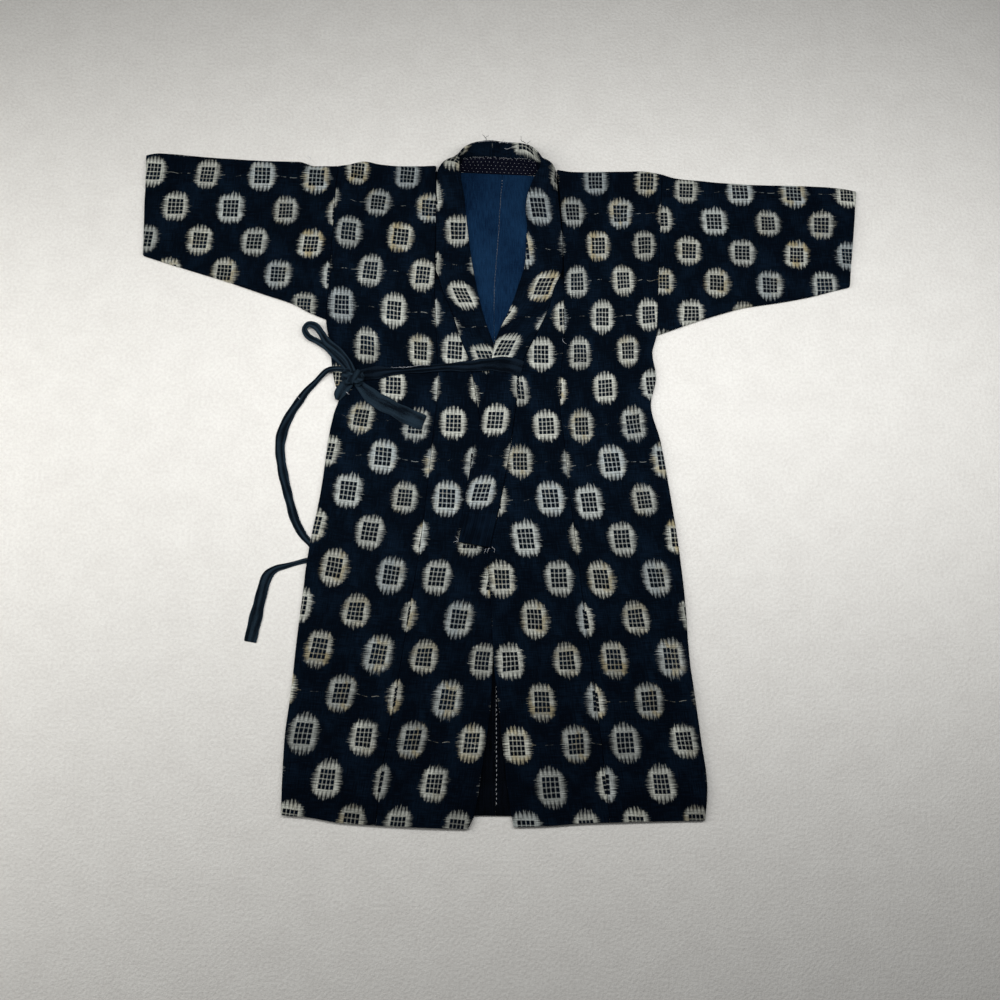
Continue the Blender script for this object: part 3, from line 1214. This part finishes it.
def path_through(table, count):
    """Evenly spaced points on a smooth curve through a table's x and y, with each point's row number."""
    places = np.array([(row["x"], row["y"]) for row in table], float)
    padded = np.vstack([2 * places[0] - places[1], places, 2 * places[-1] - places[-2]])
    fine = []
    numbers = []
    for k in range(len(places) - 1):
        p = padded[k:k + 4]
        knots = np.concatenate([[0], np.cumsum(np.linalg.norm(np.diff(p, axis=0), axis=1) ** 0.5)])
        for t in np.linspace(knots[1], knots[2], 24, endpoint=False):
            a = [mix(p[n], p[n + 1], (t - knots[n]) / (knots[n + 1] - knots[n])) for n in range(3)]
            b = [mix(a[n], a[n + 1], (t - knots[n]) / (knots[n + 2] - knots[n])) for n in range(2)]
            fine.append(mix(b[0], b[1], (t - knots[1]) / (knots[2] - knots[1])))
            numbers.append(k + (t - knots[1]) / (knots[2] - knots[1]))
    fine.append(places[-1])
    numbers.append(len(places) - 1)
    fine = np.array(fine)
    length = run_length(fine)
    even = np.linspace(0, length[-1], count)
    at = np.stack([np.interp(even, length, fine[:, n]) for n in range(2)], axis=1)
    return at, np.interp(even, length, numbers), even


RING = 28  # points round a tie's section
TIE_STEP = 1.4  # between two sections
FOLD_DEEP = 0.95  # how deep a tie's folds are, as a share of half its thickness
SPAN = 9  # sections that a tie lies over as one
TIE_WIDE = 26  # where it lies open
TIE_END = 1.6  # thickness of its closed ends
TIE_ROUND = 0.04  # the way round a tie in its cloth's coordinates


def strip_piece(name, table, folds, seed):
    """A tie: a strip of cloth folded lengthwise, its folds wandering along it."""
    laid = "over" in table[0]
    numbered = [dict(row, k=k) for k, row in enumerate(table)]
    wide = through(numbered, "k", "wide")
    thick = through(numbered, "k", "thick")
    height = through(numbered, "k", "over" if laid else "z")
    rough_length = run_length([(row["x"], row["y"]) for row in table])[-1]
    count = max(8, round(rough_length / TIE_STEP))
    at, number, length = path_through(table, count)
    tangent = np.gradient(at, axis=0)
    tangent /= np.linalg.norm(tangent, axis=1, keepdims=True)
    across = np.stack([tangent[:, 1], -tangent[:, 0]], axis=1)
    turn = np.linspace(0, 2 * math.pi, RING, endpoint=False)
    reach = np.sign(np.cos(turn)) * np.abs(np.cos(turn)) ** 0.8
    rise = np.sign(np.sin(turn)) * np.abs(np.sin(turn)) ** 0.6
    half_wide = wide(number)[:, None] / 2
    uneven = 0.06 * np.sin(length / 12 + seed) + 0.04 * np.sin(length / 5.3 + 2 * seed)
    half_wide = half_wide * (1 + uneven)[:, None]
    half_thick = thick(number)[:, None] / 2
    middle = height(number)
    if laid:
        under = []
        for side_reach in (-1, -0.5, 0, 0.5, 1):
            for ahead in (-4, 0, 4):
                place = at + across * (side_reach * half_wide) + tangent * ahead
                under.append(top_of_cloth(place[:, 0], place[:, 1]))
        middle = middle + np.max(under, axis=0) + SEAM + half_thick[:, 0]
        # it doesn't sink into short dips
        kernel = np.hanning(SPAN) / np.hanning(SPAN).sum()
        padded = np.pad(middle, SPAN // 2, mode="edge")
        middle = np.maximum(middle, np.convolve(padded, kernel, mode="valid"))
    wander = 0.9 * np.sin(length / 37 + seed) + 0.4 * np.sin(length / 13 + 3 * seed)
    groove = FOLD_DEEP * np.cos(2 * math.pi * folds * reach[None, :] / 2 + wander[:, None] + seed)
    narrow = np.clip(TIE_WIDE / (2 * half_wide) - 0.9, 0, 1.1)  # gathered where it is narrow
    groove = groove * (0.6 + 0.5 * narrow) * smooth(0.1, 0.8, np.sin(turn))[None, :]
    pinch = 0.25 * np.sin(length / 7.3 + seed) * np.sin(length / 19 + 2 * seed)
    groove = groove + pinch[:, None] * (np.sin(turn) > 0.2)
    end = np.minimum(length, length[-1] - length)[:, None]
    taper = rounded(end, TIE_END) / (TIE_END / 2)
    x = at[:, :1] + across[:, :1] * half_wide * reach * (0.9 + 0.1 * taper)
    y = at[:, 1:] + across[:, 1:] * half_wide * reach * (0.9 + 0.1 * taper)
    z = middle[:, None] + half_thick * rise * (1 + groove) * taper
    ring = grid_of(x, y, z)
    faces = tube_faces(count, RING)
    uv = []
    for i in range(count - 1):
        for j in range(RING):
            corners = ((i, j), (i, j + 1), (i + 1, j + 1), (i + 1, j))
            uv.extend((b / RING * TIE_ROUND + seed, length[a] * MM) for a, b in corners)
    uv.extend((0.0, 0.0) for _ in range(2 * RING))
    kind = "dark tie cotton" if name == "front_tie" else "tie cotton"
    ridge = groove / FOLD_DEEP + 0.5 * smooth(0.8, 0.98, np.abs(reach))[None, :]
    made = closed_object(name, ring.reshape(-1, 3), faces, kind, uv, ridge)
    return made, length[-1]


LUMP_RINGS, LUMP_SIDES = 40, 48
WRAP_RINGS, WRAP_SIDES = 44, 20
WRAP_HALF = 6.6  # half the width of the turn over the knot
PLEAT_WORN = 5.5  # how much paler a pleat's ridge is than its trough
KNOT_UV = 1.5 * MM


def knot_piece():
    """The knot: a lump of gathered cloth with one turn of the tie drawn over it."""
    turned = math.radians(KNOT["turn"])
    lump = []
    ridges = []
    for s in np.linspace(-0.985, 0.985, LUMP_RINGS):
        ring = (1 - abs(s) ** 2.6) ** 0.42
        for a in np.linspace(0, 2 * math.pi, LUMP_SIDES, endpoint=False):
            pleat = 0.13 * math.cos(5 * a + 3.5 * s) + 0.09 * math.cos(9 * a - 6 * s)
            pleat = 1 + pleat + 0.05 * math.cos(14 * a + 9 * s)
            waist = 1 - 0.2 * math.exp(-(((s - 0.1) / 0.3) ** 2))
            ridges.append(PLEAT_WORN * (pleat - 1))
            lump.append((
                s * KNOT["long"] / 2, math.cos(a) * KNOT["wide"] / 2 * ring * pleat * waist,
                math.sin(a) * KNOT["high"] / 2 * ring * pleat,
            ))
    wrap = []
    for t in np.linspace(-0.12 * math.pi, 1.12 * math.pi, WRAP_RINGS):
        slip = 3 + 6 * math.cos(t)  # the turn goes over the knot at a slant
        reach, rise = KNOT["wide"] / 2 - 1.5, KNOT["high"] / 2 - 0.4  # it sinks in a little
        centre = Vector((slip, math.cos(t) * reach, math.sin(t) * rise))
        normal = Vector((0, math.cos(t), math.sin(t))).normalized()
        for a in np.linspace(0, 2 * math.pi, WRAP_SIDES, endpoint=False):
            across = WRAP_HALF * math.copysign(abs(math.cos(a)) ** 0.8, math.cos(a))
            crease = math.cos(3 * a + 2 * t)
            ridges.append(0.8 * crease)
            out = (2.2 + 0.9 * crease) * math.sin(a)
            point = centre + Vector((across, 0, 0)) + normal * out
            wrap.append(tuple(point))
    faces = tube_faces(LUMP_RINGS, LUMP_SIDES) + tube_faces(WRAP_RINGS, WRAP_SIDES, start=len(lump))
    points = []
    for x, y, z in lump + wrap:
        points.append((
            KNOT["x"] + x * math.cos(turned) - y * math.sin(turned),
            KNOT["y"] + x * math.sin(turned) + y * math.cos(turned),
            KNOT["z"] + z,
        ))
    uv = [(points[k][0] * KNOT_UV, points[k][1] * KNOT_UV) for face in faces for k in face]
    return closed_object("tie_knot", points, faces, "tie cotton", uv, ridges)


def stitches_object(name, stitches):
    """Short stitches of white thread: (x, y, z, direction in degrees, length, width), millimetres."""
    vertices = []
    faces = []
    for x, y, z, turn, long, wide in stitches:
        start = len(vertices)
        c, s = math.cos(math.radians(turn)), math.sin(math.radians(turn))
        for share, size in ((-1, 0.35), (-0.7, 0.8), (-0.25, 1), (0.25, 1), (0.7, 0.8), (1, 0.35)):
            for a in range(6):
                angle = a * math.pi / 3
                along = share * long / 2
                side_way = math.cos(angle) * wide / 2 * size
                up = math.sin(angle) * wide / 2 * size * 0.8 + (1 - share * share) * wide * 0.3
                vertices.append((x + along * c - side_way * s, y + along * s + side_way * c, z + up))
        faces += tube_faces(6, 6, start)
    return closed_object(name, vertices, faces, "white thread")


def dress(made):
    """A piece of sewing that lies on the cloth."""
    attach(made, "root")


# ---------------------------------------------------------------- operators

def hex_colour(label, about, value):
    return bpy.props.StringProperty(name=label, description=about + ", sRGB hex", default=value)


def distance(label, about, value):
    return bpy.props.FloatProperty(name=label, description=about, default=value, unit="LENGTH")


class NoragiColours(bpy.types.PropertyGroup):
    indigo: hex_colour("Indigo", "Dark indigo of the kasuri cloth", "#040911")
    indigo_faded: hex_colour("Faded indigo", "Indigo where it has worn", "#0d1a29")
    ecru: hex_colour("Ecru", "Undyed cotton of the dots", "#d9dcd2")
    blued: hex_colour("Blued ecru", "Dots that took a little dye", "#c0cacc")
    yellowed: hex_colour("Yellowed ecru", "Dots that have yellowed", "#c8bc97")
    lining: hex_colour("Lining", "Blue lining", "#06142a")
    lining_light: hex_colour("Lining, light", "Lighter threads of the lining", "#163250")
    dark_lining: hex_colour("Lower lining", "Dark lower lining", "#020304")
    dark_lining_light: hex_colour("Lower lining, light", "Its lighter threads", "#0b1018")
    facing: hex_colour("Neck facing", "Stitched strip in the neck", "#05060f")
    facing_light: hex_colour("Neck facing, light", "Its lighter threads", "#11131f")
    tie: hex_colour("Tie", "Faded navy of the ties", "#090f16")
    tie_light: hex_colour("Tie, worn", "Worn threads of the ties", "#202d38")
    front_tie: hex_colour("Front tie", "Front tie, less faded", "#05090f")
    front_tie_light: hex_colour("Front tie, worn", "Its lighter threads", "#141e29")
    thread: hex_colour("Thread", "White sewing thread", "#c9cbd0")
    thread_shade: hex_colour("Thread, soiled", "Soiled thread", "#8c9098")
    floor: hex_colour("Floor", "Pale floor", "#f3f2ee")
    floor_low: hex_colour("Floor, low pile", "Hollows of the floor's pile", "#e6e4e0")


class NoragiSizes(bpy.types.PropertyGroup):
    neck_stitch: distance("Neck stitch", "Distance between stitches in the neck facing", 7.4 * MM)
    lining_stitch: distance("Lining stitch", "Distance between stitches down the lining's seam", 5.6 * MM)
    camera_height: distance("Camera height", "Height of the camera over the floor", 1.22)


class NORAGI_OT_bodies(bpy.types.Operator):
    """Makes the right and left body panels"""

    bl_idname = "noragi.bodies"
    bl_label = "Bodies"

    def execute(self, context):
        for side, name in ((RIGHT, "right_body"), (LEFT, "left_body")):
            made = body_piece(side, name)
            lay(made, name)
        return {"FINISHED"}


class NORAGI_OT_overlaps(bpy.types.Operator):
    """Makes the overlap panels"""

    bl_idname = "noragi.overlaps"
    bl_label = "Overlap panels"

    def execute(self, context):
        for side, name, table, under in (
            (RIGHT, "right_overlap", GRAIN_RIGHT_OVERLAP, "right_body"),
            (LEFT, "left_overlap", GRAIN_LEFT_OVERLAP, "right_overlap"),
        ):
            made = overlap_piece(side, name, table)
            lay(made, name)
        return {"FINISHED"}


class NORAGI_OT_sleeves(bpy.types.Operator):
    """Makes the sleeves"""

    bl_idname = "noragi.sleeves"
    bl_label = "Sleeves"

    def execute(self, context):
        for side, name, table in (
            (RIGHT, "right_sleeve", GRAIN_RIGHT_SLEEVE), (LEFT, "left_sleeve", GRAIN_LEFT_SLEEVE)
        ):
            made = sleeve_piece(side, name, table)
            lay(made, name)
        return {"FINISHED"}


class NORAGI_OT_collar(bpy.types.Operator):
    """Makes the collar band and the stitched facing inside its back"""

    bl_idname = "noragi.collar"
    bl_label = "Collar"

    def execute(self, context):
        collar, length = collar_piece()
        lay(collar, "collar")
        facing = facing_piece()
        stitches = neck_stitches()
        dress(stitches)
        lay(facing, "neck_facing")
        return {"FINISHED"}


def neck_stitches():
    """Five rows of white stitches, each row half a step along from the last, and a thread along the top."""
    spacing = bpy.context.scene.noragi_sizes.neck_stitch / MM
    grid, normal = facing_grid(200, 21)
    lift = BAND / 2 + SEAM + FACING_EASE + FACING + 0.1
    length = run_length(grid[:, 10])
    chance = random.Random(5)
    stitches = []
    end_room = 3  # at both ends of a row
    for number, column in enumerate((2, 6, 10, 14, 18)):
        start = end_room + (number % 2) * spacing / 2
        for along in np.arange(start, length[-1] - end_room, spacing):
            i = int(np.interp(along + chance.uniform(-0.6, 0.6), length, np.arange(len(length))))
            point = grid[i, column] + normal[i, column] * lift
            direction = grid[min(i + 1, len(grid) - 1), column] - grid[max(i - 1, 0), column]
            turn = math.degrees(math.atan2(direction[1], direction[0])) + chance.uniform(-14, 14)
            stitches.append((*point, turn, chance.uniform(0.9, 1.5), 0.7))
    wave = 0.0
    for along in np.arange(2, length[-1] - 2, 2.5):
        i = int(np.interp(along, length, np.arange(len(length))))
        wave = 0.7 * wave + chance.uniform(-1.2, 1.0)
        if chance.random() < 0.3:
            continue
        point = grid[i, 20] + normal[i, 20] * (lift - FACING / 2) + np.array([0, wave, 0])
        stitches.append((*point, chance.uniform(-50, 40), chance.uniform(1.8, 3.0), 0.42))
    return stitches_object("neck_stitches", stitches)


class NORAGI_OT_linings(bpy.types.Operator):
    """Makes the linings that show in the neck and in the slit, with the stitches down their seams"""

    bl_idname = "noragi.linings"
    bl_label = "Linings"

    def execute(self, context):
        def neck_top(x):
            return neck_seam(x) - NECK_LINING_GAP

        def hem_top(x):
            return HEM_LINING[0]["y"] + 0 * x

        chance = random.Random(11)
        step = context.scene.noragi_sizes.lining_stitch / MM
        down = []
        for k, y in enumerate(np.arange(505, 268, -step)):
            x = float(centre_back(y)) + chance.uniform(-0.5, 0.5)
            turn = 90 + (28 if k % 2 else -28)
            down.append((x, float(y), LINING_LEVEL + LINING / 2 + 0.4, turn, 2.0, 0.45))
        neck_seam_stitches = stitches_object("neck_lining_stitches", down)
        down = []
        for y in np.arange(-330, -536, -step * 1.25):
            x = float(centre_back(y)) + 1.5 + chance.uniform(-0.4, 0.4)
            turn = 90 + chance.uniform(-12, 12)
            down.append((x, float(y), LINING_LEVEL + LINING / 2 + 0.45, turn, 3.6, 1.0))
        hem_seam_stitches = stitches_object("hem_lining_stitches", down)
        dress(neck_seam_stitches)
        dress(hem_seam_stitches)
        for region, table, top, kind, flat, stitched in (
            ("neck", NECK_LINING, neck_top, "blue lining", (0.1, 0.35), {LEFT: (neck_seam_stitches,)}),
            ("hem", HEM_LINING, hem_top, "dark lining", (0.07, 0.25), {RIGHT: (hem_seam_stitches,)}),
        ):
            for side, word in ((RIGHT, "right"), (LEFT, "left")):
                node = f"{word}_{region}_lining"
                made = lining_piece(side, node, table, top, kind)
                lay(made, node)
        return {"FINISHED"}


class NORAGI_OT_ties(bpy.types.Operator):
    """Makes the ties, their bow loop, tails and knot"""

    bl_idname = "noragi.ties"
    bl_label = "Ties"

    def execute(self, context):
        for name, table, folds, seed, under in (
            ("front_tie", FRONT_TIE, 2.0, 0.4, ("left_overlap", "right_overlap", "right_body")),
            ("side_tie", SIDE_TIE, 1.5, 1.7, ("right_body",)),
            ("tie_loop", LOOP, 1.6, 2.9, ("right_body",)),
            ("short_tail", SHORT_TAIL, 1.2, 4.1, ("right_body",)),
            ("long_tail", LONG_TAIL, 1.8, 5.5, ("right_body", "floor")),
        ):
            made, length = strip_piece(name, table, folds, seed)
            lay(made, name)
        knot = knot_piece()
        knot.name = "tie_knot_cloth"
        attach(knot, "root")
        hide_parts("tie_knot")
        return {"FINISHED"}


LOOSE_THREADS = rows(  # from a point, to a point, with a bend sideways, millimetres
    "x1 y1 z1 x2 y2 z2 bend thick dark",
    (-24, 568, 25, -31, 578, 25, 2, 1.1, 1), (-24, 569, 24, -20, 577, 25, -2, 0.9, 1),
    (44, 562, 26, 36, 575, 26, -3, 1.1, 1), (46, 561, 27, 52, 566, 26, 1, 0.9, 1),
    (8, 556, 20, 22, 560, 21, 3, 0.8, 0), (-2, 565, 23, 6, 571, 23, 2, 1.2, 0),
    (-68, -127, 13, -72, -121, 13, 2, 0.9, 0), (-67, -129, 13, -75, -130, 12, 2, 0.8, 0),
    (-16, -139, 14, -20, -147, 13, 2, 0.9, 0), (-13, -137, 14, -9, -146, 13, -2, 0.8, 0),
    (-22, -140, 14, -25, -148, 13, 1, 0.7, 0), (-256, 124, 11, -250, 118, 11, 2, 1.1, 0),
    (106, 214, 12, 112, 205, 12, 3, 0.7, 0), (131, 168, 12, 139, 176, 12, -3, 0.6, 0),
    (-330, 540, 12, -338, 548, 10, 2, 0.7, 0),
)


def threads_object(name, table, kind):
    """Thin bent tubes of thread."""
    vertices = []
    faces = []
    for row in table:
        start = np.array([row["x1"], row["y1"], row["z1"]], float)
        end = np.array([row["x2"], row["y2"], row["z2"]], float)
        side_way = np.cross(end - start, (0, 0, 1))
        side_way /= np.linalg.norm(side_way)
        first = len(vertices)
        for t in np.linspace(0, 1, 9):
            bend = side_way * row["bend"] * math.sin(math.pi * t)
            centre = mix(start, end, t) + bend + side_way * 0.6 * math.sin(9 * t)
            for a in range(6):
                angle = a * math.pi / 3
                size = row["thick"] / 2 * (1 - 0.5 * t)
                offset = side_way * math.cos(angle) * size
                vertices.append(tuple(centre + offset + np.array([0, 0, math.sin(angle) * size])))
        faces += tube_faces(9, 6, first)
    return closed_object(name, vertices, faces, kind)


def worn_edge(name, start, end, share, seed):
    """The whitish worn edge of the collar, a row of short frayed ends along a stretch of it."""
    chance = random.Random(seed)
    table = []
    for at in np.arange(start, end, 0.0035):
        point = neck_section(at, np.array([share]))[0]
        ahead = neck_section(at + 0.004, np.array([share]))[0]
        drop = chance.uniform(-1.6, 0.2)
        table.append({
            "x1": point[0], "y1": point[1] + drop, "z1": point[2] + 1.2,
            "x2": ahead[0] + chance.uniform(-1, 1), "y2": ahead[1] + chance.uniform(-1.8, 0.8),
            "z2": ahead[2] + 1.5, "bend": chance.uniform(-0.6, 0.6), "thick": chance.uniform(0.6, 1.3),
        })
    return threads_object(name, table, "white thread")


def tie_edge():
    """Short worn threads along the upper edge of the front tie, and where the long tail was creased."""
    chance = random.Random(21)
    table = []
    for x in np.arange(-196, -118, 2.6):
        y = np.interp(-x, [118, 134, 164, 196], [168.2, 167, 163.6, 163.5]) + chance.uniform(-0.8, 0.5)
        z = float(top_of_cloth(np.array([x]), np.array([y]))[0]) + 3.2
        to_x, to_y = x + chance.uniform(2.4, 4.2), y + chance.uniform(-0.3, 0.7)
        table.append((x, y, z, to_x, to_y, z, 0.2, chance.uniform(0.4, 0.8)))
    table.append((-341, 117, 2.6, -334, 112, 2.9, 0.6, 0.8))
    return rows("x1 y1 z1 x2 y2 z2 bend thick", *table)


class NORAGI_OT_threads(bpy.types.Operator):
    """Makes the loose threads and the worn edge of the collar"""

    bl_idname = "noragi.threads"
    bl_label = "Loose threads"

    def execute(self, context):
        pale = [row for row in LOOSE_THREADS if not row["dark"]]
        dark = [row for row in LOOSE_THREADS if row["dark"]]
        for made in (
            threads_object("loose_pale_threads", pale, "white thread"),
            threads_object("loose_dark_threads", dark, "tie cotton"),
            worn_edge("worn_collar_left", 0.50, 0.535, 0.985, 3),
            worn_edge("worn_collar_right", 0.40, 0.475, 0.985, 4),
            threads_object("worn_tie_edge", tie_edge(), "white thread"),
        ):
            dress(made)
        return {"FINISHED"}


FLOOR_WIDE = 12
FLOOR_DROP = 0.0002  # keeps the floor's face clear of the cloth's underside
ROOM_LIGHT = 0.09
LENS = 27.036
CAMERA_BACK = 0.241
CAMERA_TILT = 8.5


class NORAGI_OT_stage(bpy.types.Operator):
    """Makes the floor, the lights and the camera"""

    bl_idname = "noragi.stage"
    bl_label = "Stage"

    def execute(self, context):
        scene = context.scene
        bpy.ops.object.select_all(action="DESELECT")
        bpy.ops.mesh.primitive_plane_add(size=FLOOR_WIDE, location=(0, 0, -FLOOR_DROP))
        floor = context.object
        floor.name = "floor"
        floor.data.transform(floor.matrix_world)
        floor.matrix_world.identity()
        floor.data.materials.append(material_of("pale floor"))
        for name, place, aim, wide, deep, power, colour in (
            ("window", (-1.48, 0.05, 0.9), (-0.6, -0.6, 0), 0.9, 0.9, 13.2, (1.0, 0.985, 0.955)),
            ("ceiling", (0.3, 0.16, 0.87), (0.3, 0.15, 0), 1.8, 0.22, 10.9, (1.0, 0.995, 0.985)),
        ):
            light = bpy.data.lights.new(name, "AREA")
            light.shape = "RECTANGLE"
            light.size = wide
            light.size_y = deep
            light.energy = power
            light.color = colour
            lamp = bpy.data.objects.new(name, light)
            scene.collection.objects.link(lamp)
            lamp.location = place
            lamp.visible_camera = False
            lamp.rotation_euler = (Vector(aim) - Vector(place)).to_track_quat("-Z", "Y").to_euler()
        world = bpy.data.worlds.new("pale room")
        world.use_nodes = True
        background = world.node_tree.nodes["Background"]
        background.inputs["Color"].default_value = linear("#eef0f2")
        background.inputs["Strength"].default_value = ROOM_LIGHT
        scene.world = world
        scene.view_settings.view_transform = "Standard"
        camera_data = bpy.data.cameras.new("camera")
        camera_data.sensor_width = 36
        camera_data.lens = LENS
        camera = bpy.data.objects.new("camera", camera_data)
        scene.collection.objects.link(camera)
        camera.location = (0, -CAMERA_BACK, scene.noragi_sizes.camera_height)
        camera.rotation_euler = (math.radians(CAMERA_TILT), 0, 0)
        scene.camera = camera
        return {"FINISHED"}


class NORAGI_PT_panel(bpy.types.Panel):
    """Lists the pieces of the coat"""

    bl_label = "Noragi"
    bl_idname = "NORAGI_PT_panel"
    bl_space_type = "VIEW_3D"
    bl_region_type = "UI"
    bl_category = "Noragi"

    def draw(self, context):
        for operator in OPERATORS:
            self.layout.operator(operator.bl_idname)
        for group in (context.scene.noragi_colours, context.scene.noragi_sizes):
            for name in group.bl_rna.properties.keys():
                if name not in ("rna_type", "name"):
                    self.layout.prop(group, name)


OPERATORS = (
    NORAGI_OT_bodies, NORAGI_OT_overlaps, NORAGI_OT_sleeves, NORAGI_OT_collar,
    NORAGI_OT_linings, NORAGI_OT_ties, NORAGI_OT_threads, NORAGI_OT_stage,
)
CLASSES = (NoragiColours, NoragiSizes, *OPERATORS, NORAGI_PT_panel)


def register():
    for one in CLASSES:
        bpy.utils.register_class(one)
    bpy.types.Scene.noragi_colours = bpy.props.PointerProperty(type=NoragiColours)
    bpy.types.Scene.noragi_sizes = bpy.props.PointerProperty(type=NoragiSizes)


def unregister():
    del bpy.types.Scene.noragi_sizes
    del bpy.types.Scene.noragi_colours
    for one in reversed(CLASSES):
        bpy.utils.unregister_class(one)


def main():
    register()
    bpy.ops.noragi.bodies()
    bpy.ops.noragi.overlaps()
    bpy.ops.noragi.sleeves()
    bpy.ops.noragi.collar()
    bpy.ops.noragi.linings()
    bpy.ops.noragi.ties()
    bpy.ops.noragi.threads()
    bpy.ops.noragi.stage()


if __name__ == "__main__":
    main()
